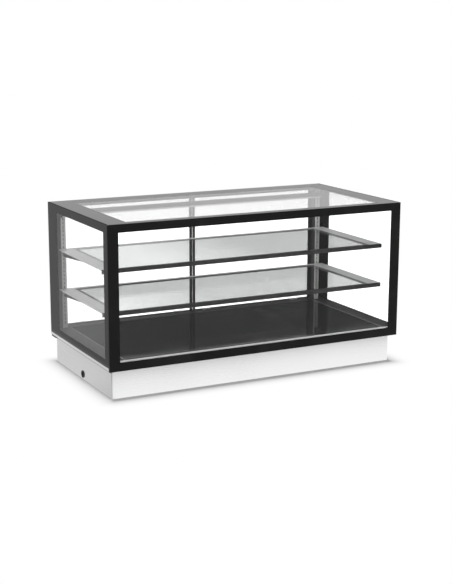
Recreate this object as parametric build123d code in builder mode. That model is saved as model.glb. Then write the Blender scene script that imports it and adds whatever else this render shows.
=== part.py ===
from build123d import *
from math import radians, tan
import os

# Drop-in heated display case. Millimetres, +Z up, +X to the right, -Y to the front.
# The origin is the centre of the whole case on the plane of the base's underside.

# Whole case
WIDTH = 1219.0
DEPTH = 610.0
HEIGHT = 636.0

# Glass cabinet
PANE = 6.0
PANE_ARRIS = 0.6
FRONT_PANE_DROP = 13.3
SEALANT = 5.0
TAPE = 2.0

# Base box, flange and sheet metal
SHEET = 1.5
FLANGE_TOP = 121.6
FLANGE_EDGE = 10.0
FLANGE_HEM = 8.0
FLANGE_WIDTH = 34.0
BASE_SIDE_INSET = 19.5
BASE_FRONT_INSET = 30.0
BASE_REAR_INSET = 7.0
BASE_LIP = 14.0
CORNER_RADIUS = 3.0
FLOOR_GAP = 0.5
VENT_LENGTH = 60.0
VENT_WIDTH = 6.0
VENT_PITCH = 16.0
VENT_COUNT = 8
VENT_BANK_SPACING = 640.0
MOUNT_HOLE_RADIUS = 4.5
MOUNT_INSET_X = 89.5
MOUNT_INSET_Y = 66.5

# Cable grommet in the left wall
GROMMET_Y = 12.7
GROMMET_Z = 19.6
GROMMET_HOLE_RADIUS = 11.0
GROMMET_HEAD_RADIUS = 14.0
GROMMET_HEAD = 2.5
GROMMET_BORE_RADIUS = 7.0
GROMMET_TAIL = 6.0
GROMMET_FIT = 0.1

# Pads under the rear ends of the flange
PAD_WIDTH = 16.0
PAD_LENGTH = 50.0
PAD_HEIGHT = 7.0
PAD_RADIUS = 2.0

# Deck
DECK_TOP = 146.0
DECK_GLASS = 5.0
DECK_GLASS_INSET = 64.5
DECK_JOINT = 0.6
DECK_LEDGE = 20.0
BAR_INNER_REACH = 11.0
BAR_OUTER_REACH = 11.0
BAR_HEIGHT = 12.0
MAT_RADIUS = 8.0
HEATER = 1.5
HEATER_MARGIN_X = 65.0
HEATER_MARGIN_Y = 45.0
INSULATION = 20.0
TRAY_LIP = 9.0
TRAY_GAP = 3.0
BOARD_GAP = 0.4
PROBE_RADIUS = 2.5
PROBE_LENGTH = 60.0

# Rear frame
POST_WIDTH = 19.0
POST_OUTER_INSET = 32.5
REAR_FRAME_DEPTH = 62.0
POST_SETBACK = 2.0
POST_WALL = 2.0
POST_RADIUS = 1.0
POST_FIN_SETBACK = 4.0
BAR_CHAMFER = 1.0
HEADER = 15.0
GROOVE_WIDTH = 8.0
GROOVE_DEPTH = 10.0
DOOR_PLANE_INNER = 19.0
DOOR_PLANE_OUTER = 7.0

# Slotted strips on the posts
STRIP_DEPTH = 4.0
STRIP_GROOVE = 6.0
STRIP_GROOVE_DEPTH = 2.0
SLOT_HEIGHT = 10.0
SLOT_WIDTH = 3.4
SLOT_PITCH = 15.7
SLOT_END = 8.0
SLOTS_PER_SHELF = 10
SLOTS_SKIPPED = 2
STRIP_SCREW_LANDS = (2, 15, 24)
STRIP_SCREW_RADIUS = 2.7
STRIP_SCREW_HEAD = 1.6

# Shelves
SHELF_FRONT_SETBACK = 95.0
SHELF_REAR_GAP = 3.0
SHELF_SIDE_INSET = 19.5
SHELF_SIDE_PLATE = 55.0
SHELF_REAR_RAIL = 20.0
SHELF_SHEET = 4.0
SHELF_GLASS = 5.0
SHELF_GLASS_GAP = 0.5
SHELF_LEDGE = 12.0
SHELF_LEDGE_SHEET = 3.0
SHELF_EDGE_HEIGHT = 16.0
SHELF_EDGE_SHEET = 4.0
SHELF_EDGE_LIP = 12.0
EDGE_RADIUS = 1.2

# Shelf brackets
BRACKET = 3.0
BRACKET_LENGTH = 196.0
BRACKET_FRONT_DEPTH = 13.0
HOOK_HEIGHT = 8.0
HOOK_DEPTH = 1.8
HOOK_DROP = 12.0
HOOK_EDGE = 0.8

# Light bar
LIGHT_DROP = 32.0
LIGHT_PROFILE = 16.0
LIGHT_DEPTH = 14.0
LIGHT_WALL = 1.4
DIFFUSER = 6.0
LIGHT_STRIP = 1.6
END_CAP = 2.0
STRIP_END = 8.0
STRIP_MARGIN = 0.8
DIFFUSER_TONGUE = 2.0

# Doors
DOOR_GLASS = 5.0
DOOR_SIDE_GAP = 1.2
DOOR_OVERLAP = 28.0
DOOR_TOP_LAP = 6.0
STILE_WIDTH = 9.6
STILE_DEPTH = 9.0
STILE_END_GAP = 1.0
STILE_BACK = 1.6
STILE_RADIUS = 0.8
PULL_HEIGHT = 120.0
PULL_WIDTH = 5.6
PULL_DEPTH = 1.2
GLIDE_LENGTH = 34.0
GLIDE_INSET = 60.0
GLIDE_CLEARANCE = 0.3
GLIDE_HEIGHT = 12.0
GLIDE_BASE = 2.5
GLIDE_CHAMFER = 1.0

# Rear control panel
PANEL_INSET = 179.5
PANEL_CENTRE_Z = 58.0
PANEL_WIDTH = 210.0
PANEL_HEIGHT = 62.0
PANEL_THICKNESS = 2.5
PANEL_RADIUS = 4.0
FASCIA_EDGE = 0.8
HOUSING_WALL = 2.0
HOUSING_DEPTH = 44.0
HOUSING_MARGIN_X = 16.0
HOUSING_MARGIN_Z = 9.0
HOUSING_GAP = 0.5
CHEEK_DEPTH = 12.0
DISPLAY_WIDTH = 52.0
DISPLAY_HEIGHT = 24.0
DISPLAY_X = -6.0
DISPLAY_DEPTH = 11.4
DISPLAY_SINK = 0.3
DISPLAY_FLANGE = 2.0
BOARD_X = 23.0
BOARD_WIDTH = 118.0
BOARD_HEIGHT = 34.0
BOARD = 1.6
SWITCH = 6.0
SWITCH_GAP = 0.3
ROCKER_WIDTH = 14.0
ROCKER_HEIGHT = 20.0
ROCKER_WINDOW = 22.4
ROCKER_BACK = 4.0
ROCKER_STAND = 0.6
ROCKER_TILT = 8.0
ROCKER_GAP = 0.4
PIVOT_DEPTH = 3.0
PIVOT_RADIUS = 1.2
PIVOT_FIT = 0.05
PIVOT_REACH = 1.6
rocker_xs = {"power": -72.0, "light": -50.0}
BUTTON_RADIUS = 4.5
BUTTON_GAP = 0.4
BUTTON_STAND = 1.6
BUTTON_TAIL = 6.0
BUTTON_COLLAR = 1.0
BUTTON_TRAVEL = 1.2
BUTTON_EDGE = 0.6
button_xs = {"set": 36.0, "down": 54.0, "up": 72.0}
PANEL_SCREW_X = 97.0
PANEL_SCREW_Z = 23.0
SCREW_HEAD_RADIUS = 3.2
SCREW_HEAD = 1.8
SCREW_RADIUS = 1.6
SCREW_LENGTH = 9.0

# Electrical parts on the floor
TERMINAL_WAYS = 6
TERMINAL_PITCH = 9.0
TERMINAL_DEPTH = 24.0
TERMINAL_HEIGHT = 20.0
TERMINAL_INSET = 109.5
TERMINAL_CHAMFER = 5.0
TERMINAL_HOLE = 2.2
CUTOUT_RADIUS = 8.0
CUTOUT_HEIGHT = 7.0
CUTOUT_TAB = 3.0

# Planes that several pieces share
half = WIDTH / 2
front = -DEPTH / 2
rear = DEPTH / 2
pane_in_x = half - PANE
pane_in_front = front + PANE
pane_in_top = HEIGHT - PANE
body_front = pane_in_front + TAPE
body_side = pane_in_x - TAPE
base_x = half - BASE_SIDE_INSET
base_front = front + BASE_FRONT_INSET
base_rear = rear - BASE_REAR_INSET
flange_low = FLANGE_TOP - FLANGE_EDGE
frame_rear_front = rear - REAR_FRAME_DEPTH
deck_rear = frame_rear_front - DECK_JOINT
deck_seat = DECK_TOP - DECK_GLASS
deck_glass_x = half - DECK_GLASS_INSET
header_low = pane_in_top - HEADER
post_out = half - POST_OUTER_INSET
post_in = post_out - POST_WIDTH
post_mid = (post_in + post_out) / 2
post_front = frame_rear_front + POST_SETBACK
strip_front = post_front - STRIP_DEPTH
groove_floor = strip_front + STRIP_GROOVE_DEPTH
shelf_x = half - SHELF_SIDE_INSET
shelf_front = front + SHELF_FRONT_SETBACK
shelf_rear = strip_front - SHELF_REAR_GAP
shelf_pitch = SLOTS_PER_SHELF * SLOT_PITCH
shelf_tops = {"lower": DECK_TOP + shelf_pitch, "upper": DECK_TOP + 2 * shelf_pitch}
light_top = HEIGHT - LIGHT_DROP
light_low = light_top - LIGHT_PROFILE
tray_floor = deck_seat - HEATER - INSULATION
nose_in = deck_glass_x + DECK_JOINT
bar_in = deck_glass_x - BAR_INNER_REACH
bar_out = deck_glass_x + BAR_OUTER_REACH
door_planes = {"left": rear - DOOR_PLANE_OUTER, "right": rear - DOOR_PLANE_INNER}
pull_mid = (DECK_TOP + header_low) / 2
window_width = PANEL_WIDTH - 2 * HOUSING_MARGIN_X
window_height = PANEL_HEIGHT - 2 * HOUSING_MARGIN_Z
sides = {"left": -1, "right": 1}
floor_mid_y = (base_front + base_rear) / 2
floor_screw_x = base_x - BASE_LIP / 2
floor_screw_y = (base_rear - base_front) / 2 - BASE_LIP / 2
panel_plane = Plane((half - PANEL_INSET, base_rear, PANEL_CENTRE_Z), x_dir=(-1, 0, 0), z_dir=(0, 1, 0))
terminal_x = TERMINAL_INSET - half
STANDING = (Align.CENTER, Align.CENTER, Align.MIN)
HANGING = (Align.CENTER, Align.CENTER, Align.MAX)

os.makedirs("parts", exist_ok=True)


def block(x, y, z, mode=Mode.ADD):
    """Add the box that spans the pairs x, y and z."""
    with Locations(((x[0] + x[1]) / 2, (y[0] + y[1]) / 2, (z[0] + z[1]) / 2)):
        Box(abs(x[1] - x[0]), abs(y[1] - y[0]), abs(z[1] - z[0]), mode=mode)


def corner(x, y, dx, dy):
    """Draw a right-angled triangle in a sketch, from the corner (x, y) along dx and dy."""
    Polygon((x, y), (x + dx, y), (x, y + dy), align=None)


def save(piece, name):
    """Name a finished piece and write it to its file."""
    piece.part.label = name
    export_step(piece.part, "parts/" + name + ".step")


# Base wall: one folded stainless band with a lip turned in at the top and at the bottom
with BuildPart() as base_shell:
    with BuildSketch(Plane.XY.offset(SHEET)):
        with Locations((0, floor_mid_y)):
            RectangleRounded(2 * base_x, base_rear - base_front, CORNER_RADIUS)
            Rectangle(2 * (base_x - SHEET), base_rear - base_front - 2 * SHEET, mode=Mode.SUBTRACT)
    extrude(amount=FLANGE_TOP - 2 * SHEET)
    for lip_z in (SHEET, FLANGE_TOP - 2 * SHEET):
        with BuildSketch(Plane.XY.offset(lip_z)):
            with Locations((0, floor_mid_y)):
                Rectangle(2 * base_x - SHEET, base_rear - base_front - SHEET)
                Rectangle(2 * (base_x - BASE_LIP), base_rear - base_front - 2 * BASE_LIP,
                          mode=Mode.SUBTRACT)
        extrude(amount=SHEET)
    with Locations((0, floor_mid_y, SHEET)):
        with GridLocations(floor_screw_x, 2 * floor_screw_y, 3, 2):
            Cylinder(SCREW_RADIUS, 2 * SHEET, mode=Mode.SUBTRACT)
    with Locations(Plane((-base_x, GROMMET_Y, GROMMET_Z), z_dir=(-1, 0, 0))):
        Hole(GROMMET_HOLE_RADIUS, depth=2 * SHEET)
    with Locations(panel_plane):
        Box(window_width, window_height, 4 * SHEET, mode=Mode.SUBTRACT)
        with GridLocations(2 * PANEL_SCREW_X, 2 * PANEL_SCREW_Z, 2, 2):
            Hole(SCREW_RADIUS, depth=2 * SHEET)
save(base_shell, "base_shell")

# Floor plate with two banks of vent slots and four holes for legs or counter fixings
with BuildPart() as base_floor:
    with BuildSketch():
        with Locations((0, floor_mid_y)):
            RectangleRounded(2 * (base_x - FLOOR_GAP), base_rear - base_front - 2 * FLOOR_GAP,
                             CORNER_RADIUS)
            with GridLocations(2 * (half - MOUNT_INSET_X), base_rear - base_front - 2 * MOUNT_INSET_Y, 2, 2):
                Circle(MOUNT_HOLE_RADIUS, mode=Mode.SUBTRACT)
            with GridLocations(VENT_BANK_SPACING, VENT_PITCH, 2, VENT_COUNT):
                SlotOverall(VENT_LENGTH, VENT_WIDTH, mode=Mode.SUBTRACT)
    extrude(amount=SHEET)
    with Locations((0, floor_mid_y, 0)):
        with GridLocations(floor_screw_x, 2 * floor_screw_y, 3, 2):
            Cone(SCREW_HEAD_RADIUS, SCREW_RADIUS, SHEET, align=STANDING, mode=Mode.SUBTRACT)
save(base_floor, "base_floor")

# Six countersunk screws that hold the floor to the wall's bottom lip
with BuildPart() as floor_screws:
    with Locations((0, floor_mid_y, 0)):
        with GridLocations(floor_screw_x, 2 * floor_screw_y, 3, 2):
            Cone(SCREW_HEAD_RADIUS, SCREW_RADIUS, SHEET, align=STANDING)
    with Locations((0, floor_mid_y, SHEET)):
        with GridLocations(floor_screw_x, 2 * floor_screw_y, 3, 2):
            Cylinder(SCREW_RADIUS, SCREW_LENGTH - SHEET, align=STANDING)
save(floor_screws, "floor_screws")

# Counter flange: a flat stainless frame with its edge folded down and hemmed under
with BuildPart() as mounting_flange:
    block((-half, half), (body_front, rear), (flange_low, FLANGE_TOP))
    block((-half + SHEET, half - SHEET), (body_front + SHEET, rear - SHEET),
          (flange_low, FLANGE_TOP - SHEET), mode=Mode.SUBTRACT)
    block((-half + FLANGE_WIDTH, half - FLANGE_WIDTH),
          (body_front + FLANGE_WIDTH, rear - FLANGE_WIDTH),
          (flange_low, FLANGE_TOP), mode=Mode.SUBTRACT)
    for side in sides.values():
        block((side * (half - SHEET), side * (half - SHEET - FLANGE_HEM)),
              (body_front + SHEET, rear - SHEET), (flange_low, flange_low + SHEET))
    block((-half + SHEET, half - SHEET), (body_front + SHEET, body_front + SHEET + FLANGE_HEM),
          (flange_low, flange_low + SHEET))
save(mounting_flange, "mounting_flange")

# Two rubber pads under the rear ends of the flange
with BuildPart() as flange_pads:
    for side in sides.values():
        pad_out = half - SHEET
        block((side * (pad_out - PAD_WIDTH), side * pad_out),
              (rear - SHEET - PAD_LENGTH, rear - SHEET), (flange_low - PAD_HEIGHT, flange_low))
    fillet(flange_pads.edges().filter_by(Axis.Z), PAD_RADIUS)
save(flange_pads, "flange_pads")

# Rubber grommet in the left wall, where the supply cable leaves
with BuildPart() as cable_grommet:
    with Locations(Plane((-base_x, GROMMET_Y, GROMMET_Z), z_dir=(-1, 0, 0))):
        Cylinder(GROMMET_HEAD_RADIUS, GROMMET_HEAD, align=STANDING)
        Cylinder(GROMMET_HOLE_RADIUS - GROMMET_FIT, SHEET, align=HANGING)
    fillet(cable_grommet.edges().group_by(Axis.X)[0], GROMMET_HEAD / 2.5)
    with Locations(Plane((-base_x + SHEET, GROMMET_Y, GROMMET_Z), z_dir=(-1, 0, 0))):
        Cylinder(GROMMET_HEAD_RADIUS, GROMMET_TAIL, align=HANGING)
    with Locations(Plane((-base_x - GROMMET_HEAD, GROMMET_Y, GROMMET_Z), z_dir=(-1, 0, 0))):
        Hole(GROMMET_BORE_RADIUS, depth=GROMMET_HEAD + SHEET + GROMMET_TAIL)
save(cable_grommet, "cable_grommet")

# Deck frame: stainless ring on the flange, with a ledge, two hat bars and bright retaining noses
with BuildPart() as deck_frame:
    block((-body_side, body_side), (body_front, deck_rear), (FLANGE_TOP, deck_seat))
    block((-body_side + SHEET, body_side - SHEET), (body_front + SHEET, deck_rear - SHEET),
          (FLANGE_TOP + SHEET, deck_seat - SHEET), mode=Mode.SUBTRACT)
    block((-body_side + DECK_LEDGE, body_side - DECK_LEDGE),
          (body_front + DECK_LEDGE, deck_rear - DECK_LEDGE),
          (FLANGE_TOP, deck_seat), mode=Mode.SUBTRACT)
    for side in sides.values():
        block((side * bar_in, side * bar_out), (body_front, deck_rear),
              (deck_seat - SHEET, deck_seat))
        for web in (bar_in, bar_out - SHEET):
            block((side * web, side * (web + SHEET)), (body_front + DECK_LEDGE, deck_rear - DECK_LEDGE),
                  (deck_seat - BAR_HEIGHT, deck_seat - SHEET))
        block((side * nose_in, side * (nose_in + SHEET)), (body_front, deck_rear),
              (deck_seat, DECK_TOP))
    block((-body_side, body_side), (body_front, body_front + SHEET), (deck_seat, DECK_TOP))
save(deck_frame, "deck_frame")

# Two black sheet covers beside the heated glass, folded down at their edges
cover_front = body_front + SHEET + DECK_JOINT
for name, side in sides.items():
    with BuildPart() as deck_cover:
        cover_in = nose_in + SHEET + DECK_JOINT
        block((side * cover_in, side * body_side), (cover_front, deck_rear), (deck_seat, DECK_TOP))
        block((side * (cover_in + SHEET), side * (body_side - SHEET)),
              (cover_front + SHEET, deck_rear - SHEET), (deck_seat, DECK_TOP - SHEET),
              mode=Mode.SUBTRACT)
    save(deck_cover, "deck_cover_" + name)

# Black heated deck glass between the noses, its top edges arrised
with BuildPart() as deck_glass:
    block((-deck_glass_x, deck_glass_x), (cover_front, deck_rear), (deck_seat, DECK_TOP))
    chamfer(deck_glass.faces().sort_by(Axis.Z)[-1].edges(), PANE_ARRIS)
save(deck_glass, "deck_glass")

# Heater mat glued under the deck glass
mat_x = deck_glass_x - HEATER_MARGIN_X
mat_front = body_front + HEATER_MARGIN_Y
mat_rear = deck_rear - HEATER_MARGIN_Y
with BuildPart() as deck_heater:
    with BuildSketch(Plane.XY.offset(deck_seat - HEATER)):
        with Locations((0, (mat_front + mat_rear) / 2)):
            RectangleRounded(2 * mat_x, mat_rear - mat_front, MAT_RADIUS)
    extrude(amount=HEATER)
save(deck_heater, "deck_heater")

# Tray that hangs from the deck frame's ledge and holds the insulation against the heater
tray_front = base_front + BASE_LIP + TRAY_GAP
tray_rear = deck_rear - DECK_LEDGE - TRAY_GAP
lip_top = deck_seat - SHEET
with BuildPart() as heater_tray:
    block((-bar_in, bar_in), (tray_front, tray_rear), (tray_floor - SHEET, lip_top))
    block((-bar_in + SHEET, bar_in - SHEET), (tray_front + SHEET, tray_rear - SHEET),
          (tray_floor, lip_top), mode=Mode.SUBTRACT)
    block((-bar_in, bar_in), (body_front + DECK_LEDGE - TRAY_LIP, tray_front),
          (lip_top - SHEET, lip_top))
    block((-bar_in, bar_in), (tray_rear, deck_rear - DECK_LEDGE + TRAY_LIP),
          (lip_top - SHEET, lip_top))
save(heater_tray, "heater_tray")

# Insulation board with a groove for the temperature probe
with BuildPart() as insulation_board:
    block((-bar_in + SHEET + BOARD_GAP, bar_in - SHEET - BOARD_GAP),
          (tray_front + SHEET + BOARD_GAP, tray_rear - SHEET - BOARD_GAP),
          (tray_floor, tray_floor + INSULATION))
    block((-PROBE_RADIUS - BOARD_GAP, PROBE_RADIUS + BOARD_GAP),
          (-PROBE_LENGTH / 2 - BOARD_GAP, PROBE_LENGTH / 2 + BOARD_GAP),
          (tray_floor + INSULATION - 2 * PROBE_RADIUS, tray_floor + INSULATION), mode=Mode.SUBTRACT)
save(insulation_board, "insulation_board")

# Temperature probe in its groove, pressed up against the heater
with BuildPart() as deck_probe:
    with Locations((0, 0, tray_floor + INSULATION - PROBE_RADIUS)):
        Cylinder(PROBE_RADIUS, PROBE_LENGTH, rotation=(90, 0, 0))
    fillet(deck_probe.edges().filter_by(GeomType.CIRCLE), PROBE_RADIUS * 0.6)
save(deck_probe, "deck_probe")

# Bimetal overheat cut-out under the tray
with BuildPart() as overheat_cutout:
    with Locations((0, floor_mid_y, tray_floor - SHEET)):
        Cylinder(CUTOUT_RADIUS, CUTOUT_HEIGHT, align=HANGING)
        with GridLocations(CUTOUT_RADIUS, 0, 2, 1):
            Box(CUTOUT_TAB, CUTOUT_TAB * 2, CUTOUT_HEIGHT + CUTOUT_TAB, align=HANGING)
save(overheat_cutout, "overheat_cutout")

# Front pane hangs in front of the side panes and covers the flange's front edge
with BuildPart() as front_pane:
    block((-half, half), (front, pane_in_front), (FLANGE_TOP - FRONT_PANE_DROP, HEIGHT))
    chamfer(front_pane.faces().sort_by(Axis.Y)[0].edges(), PANE_ARRIS)
save(front_pane, "front_pane")

# Side panes stand on the flange
for name, side in sides.items():
    with BuildPart() as side_pane:
        block((side * pane_in_x, side * half), (pane_in_front, rear), (FLANGE_TOP, HEIGHT))
        chamfer(side_pane.faces().sort_by(Axis.Z)[-1].edges(), PANE_ARRIS)
    save(side_pane, name + "_pane")

# Top pane lies between the side panes
with BuildPart() as top_pane:
    block((-pane_in_x, pane_in_x), (pane_in_front, rear), (pane_in_top, HEIGHT))
    chamfer(top_pane.faces().sort_by(Axis.Y)[-1].edges(), PANE_ARRIS)
save(top_pane, "top_pane")

# Fillets of sealant in the inner corners of the glass
with BuildPart() as corner_sealant:
    for side in sides.values():
        with BuildSketch(Plane.XY.offset(DECK_TOP)):
            corner(side * pane_in_x, pane_in_front, -side * SEALANT, SEALANT)
        extrude(amount=pane_in_top - DECK_TOP)
        with BuildSketch(Plane.XZ.offset(-pane_in_front)):
            corner(side * pane_in_x, pane_in_top, -side * SEALANT, -SEALANT)
        extrude(amount=pane_in_front - frame_rear_front)
    with BuildSketch(Plane.YZ.offset(-pane_in_x)):
        corner(pane_in_front, pane_in_top, SEALANT, -SEALANT)
    extrude(amount=2 * pane_in_x)
save(corner_sealant, "corner_sealant")

# Foam tape between the metal frame and the panes
with BuildPart() as glazing_tape:
    block((-body_side, body_side), (pane_in_front, body_front), (flange_low, lip_top))
    for side in sides.values():
        block((side * body_side, side * pane_in_x), (body_front, deck_rear), (FLANGE_TOP, lip_top))
save(glazing_tape, "glazing_tape")

# Header and sill: black extruded bars, each with two grooves for the doors
rear_bars = {"rear_sill": (FLANGE_TOP, DECK_TOP, DECK_TOP - GROOVE_DEPTH),
             "rear_header": (header_low, pane_in_top, header_low)}
for name, (bar_low, bar_top, groove_low) in rear_bars.items():
    with BuildPart() as rear_bar:
        block((-pane_in_x, pane_in_x), (frame_rear_front, rear), (bar_low, bar_top))
        chamfer(rear_bar.faces().sort_by(Axis.Y)[0].edges().filter_by(Axis.X), BAR_CHAMFER)
        for plane_y in door_planes.values():
            block((-pane_in_x, pane_in_x), (plane_y - GROOVE_WIDTH / 2, plane_y + GROOVE_WIDTH / 2),
                  (groove_low, groove_low + GROOVE_DEPTH), mode=Mode.SUBTRACT)
    save(rear_bar, name)

# Rear posts: box section with a fin out to the side pane, and a slotted strip on the front face
hook_rest = (SLOT_HEIGHT - HOOK_HEIGHT) / 2
slot_first = DECK_TOP - HOOK_DROP + hook_rest + SLOTS_SKIPPED * SLOT_PITCH
slot_count = int((header_low - SLOT_END - slot_first) / SLOT_PITCH) + 1
for name, side in sides.items():
    with BuildPart() as rear_post:
        with BuildSketch(Plane.XY.offset(DECK_TOP)):
            with Locations((side * post_mid, (post_front + rear) / 2)):
                RectangleRounded(POST_WIDTH, rear - post_front, POST_RADIUS)
                Rectangle(POST_WIDTH - 2 * POST_WALL, rear - post_front - 2 * POST_WALL,
                          mode=Mode.SUBTRACT)
        extrude(amount=header_low - DECK_TOP)
        block((side * (post_out - POST_WALL / 2), side * pane_in_x),
              (rear - POST_FIN_SETBACK - POST_WALL, rear - POST_FIN_SETBACK), (DECK_TOP, header_low))
        for land in STRIP_SCREW_LANDS:
            with Locations((side * post_mid, post_front, slot_first + (land - 0.5) * SLOT_PITCH)):
                Cylinder(SCREW_RADIUS, 2 * POST_WALL, rotation=(90, 0, 0), mode=Mode.SUBTRACT)
    save(rear_post, "rear_post_" + name)

    with BuildPart() as shelf_strip:
        block((side * post_in, side * post_out), (strip_front, post_front), (DECK_TOP, header_low))
        block((side * post_mid - STRIP_GROOVE / 2, side * post_mid + STRIP_GROOVE / 2),
              (strip_front, groove_floor), (DECK_TOP, header_low),
              mode=Mode.SUBTRACT)
        for slot in range(slot_count):
            slot_z = slot_first + slot * SLOT_PITCH
            block((side * post_mid - SLOT_WIDTH / 2, side * post_mid + SLOT_WIDTH / 2),
                  (strip_front, post_front), (slot_z - SLOT_HEIGHT / 2, slot_z + SLOT_HEIGHT / 2),
                  mode=Mode.SUBTRACT)
        for land in STRIP_SCREW_LANDS:
            with Locations((side * post_mid, post_front, slot_first + (land - 0.5) * SLOT_PITCH)):
                Cylinder(SCREW_RADIUS, 2 * STRIP_DEPTH, rotation=(90, 0, 0), mode=Mode.SUBTRACT)
    save(shelf_strip, "shelf_strip_" + name)

# Pan-head screws that hold the strips to the posts
with BuildPart() as strip_screws:
    for side in sides.values():
        for land in STRIP_SCREW_LANDS:
            screw_z = slot_first + (land - 0.5) * SLOT_PITCH
            with Locations(Plane((side * post_mid, groove_floor, screw_z), z_dir=(0, -1, 0))):
                Cylinder(STRIP_SCREW_RADIUS, STRIP_SCREW_HEAD, align=STANDING)
                Cylinder(SCREW_RADIUS, STRIP_DEPTH - STRIP_GROOVE_DEPTH + POST_WALL, align=HANGING)
    fillet(strip_screws.edges().group_by(Axis.Y)[0], STRIP_SCREW_HEAD / 2)
save(strip_screws, "strip_screws")

# Two shelves: metal frame, clear glass in its rebate, black front edge and two brackets each
plate_in = shelf_x - SHELF_SIDE_PLATE
rail_front = shelf_rear - SHELF_REAR_RAIL
edge_rear = shelf_front + SHELF_EDGE_SHEET
for level, top in shelf_tops.items():
    ledge = (top - SHELF_GLASS - SHELF_LEDGE_SHEET, top - SHELF_GLASS)
    with BuildPart() as shelf_frame:
        block((-shelf_x, shelf_x), (edge_rear, shelf_rear), (top - SHELF_SHEET, top))
        block((-plate_in, plate_in), (edge_rear, rail_front), (top - SHELF_SHEET, top),
              mode=Mode.SUBTRACT)
        for side in sides.values():
            block((side * (plate_in - SHELF_LEDGE), side * (plate_in + SHELF_LEDGE_SHEET)),
                  (edge_rear, rail_front + SHELF_LEDGE_SHEET), ledge)
            block((side * plate_in, side * (plate_in + SHELF_LEDGE_SHEET)),
                  (edge_rear, rail_front + SHELF_LEDGE_SHEET), (ledge[1], top - SHELF_SHEET))
        block((-plate_in, plate_in), (rail_front - SHELF_LEDGE, rail_front + SHELF_LEDGE_SHEET),
              ledge)
        block((-plate_in, plate_in), (rail_front, rail_front + SHELF_LEDGE_SHEET),
              (ledge[1], top - SHELF_SHEET))
    save(shelf_frame, level + "_shelf_frame")

    with BuildPart() as shelf_glass:
        block((-plate_in + SHELF_GLASS_GAP, plate_in - SHELF_GLASS_GAP),
              (edge_rear + SHELF_GLASS_GAP, rail_front - SHELF_GLASS_GAP), (ledge[1], top))
        chamfer(shelf_glass.faces().sort_by(Axis.Z)[-1].edges(), PANE_ARRIS)
    save(shelf_glass, level + "_shelf_glass")

    with BuildPart() as shelf_edge:
        block((-shelf_x, shelf_x), (shelf_front, edge_rear), (top - SHELF_EDGE_HEIGHT, top))
        fillet(shelf_edge.faces().sort_by(Axis.Y)[0].edges().filter_by(Axis.X), EDGE_RADIUS)
        lip_x = plate_in - SHELF_LEDGE - SHELF_GLASS_GAP
        block((-lip_x, lip_x), (edge_rear, edge_rear + SHELF_EDGE_LIP), ledge)
    save(shelf_edge, level + "_shelf_edge")

    plate_top = top - SHELF_SHEET
    plate_front = strip_front - BRACKET_LENGTH
    hook_top = top - HOOK_DROP
    plate_low = hook_top - SLOT_PITCH - HOOK_HEIGHT / 2 - HOOK_EDGE
    for name, side in sides.items():
        with BuildPart() as bracket:
            with BuildSketch(Plane.YZ.offset(side * post_mid - BRACKET / 2)):
                with BuildLine():
                    Polyline((groove_floor, plate_top), (plate_front, plate_top),
                             (plate_front, plate_top - BRACKET_FRONT_DEPTH),
                             (groove_floor, plate_low), close=True)
                make_face()
                for hook_z in (hook_top, hook_top - SLOT_PITCH):
                    with Locations((groove_floor + HOOK_DEPTH / 2, hook_z)):
                        Rectangle(HOOK_DEPTH, HOOK_HEIGHT)
            extrude(amount=BRACKET)
            nose_edges = bracket.edges().filter_by(Axis.X).group_by(Axis.Y)[0]
            fillet(nose_edges.sort_by(Axis.Z)[0], BRACKET_FRONT_DEPTH / 2)
        save(bracket, level + "_bracket_" + name)

# Light bar: black channel across the strips, light strip inside, white diffuser below
bar_half = post_out - END_CAP
light_rear = strip_front
light_front = strip_front - LIGHT_DEPTH
light_mid = (light_front + light_rear) / 2
with BuildPart() as light_profile:
    block((-bar_half, bar_half), (light_front, light_rear), (light_low, light_top))
    fillet(light_profile.edges().filter_by(Axis.X).group_by(Axis.Z)[-1], LIGHT_WALL)
    block((-bar_half, bar_half), (light_front + LIGHT_WALL, light_rear - LIGHT_WALL),
          (light_low, light_top - LIGHT_WALL), mode=Mode.SUBTRACT)
save(light_profile, "light_profile")

with BuildPart() as light_strip:
    block((-bar_half + STRIP_END, bar_half - STRIP_END),
          (light_front + LIGHT_WALL + STRIP_MARGIN, light_rear - LIGHT_WALL - STRIP_MARGIN),
          (light_top - LIGHT_WALL - LIGHT_STRIP, light_top - LIGHT_WALL))
save(light_strip, "light_strip")

with BuildPart() as light_diffuser:
    block((-bar_half, bar_half), (light_front, light_rear), (light_low - DIFFUSER, light_low))
    fillet(light_diffuser.edges().filter_by(Axis.X).group_by(Axis.Z)[0], DIFFUSER / 2)
    block((-bar_half, bar_half),
          (light_front + LIGHT_WALL, light_rear - LIGHT_WALL),
          (light_low, light_low + DIFFUSER_TONGUE))
save(light_diffuser, "light_diffuser")

with BuildPart() as light_end_caps:
    for side in sides.values():
        block((side * bar_half, side * post_out), (light_front, light_rear),
              (light_low - DIFFUSER, light_top))
    fillet(light_end_caps.edges().filter_by(Axis.X), LIGHT_WALL)
save(light_end_caps, "light_end_caps")

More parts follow.
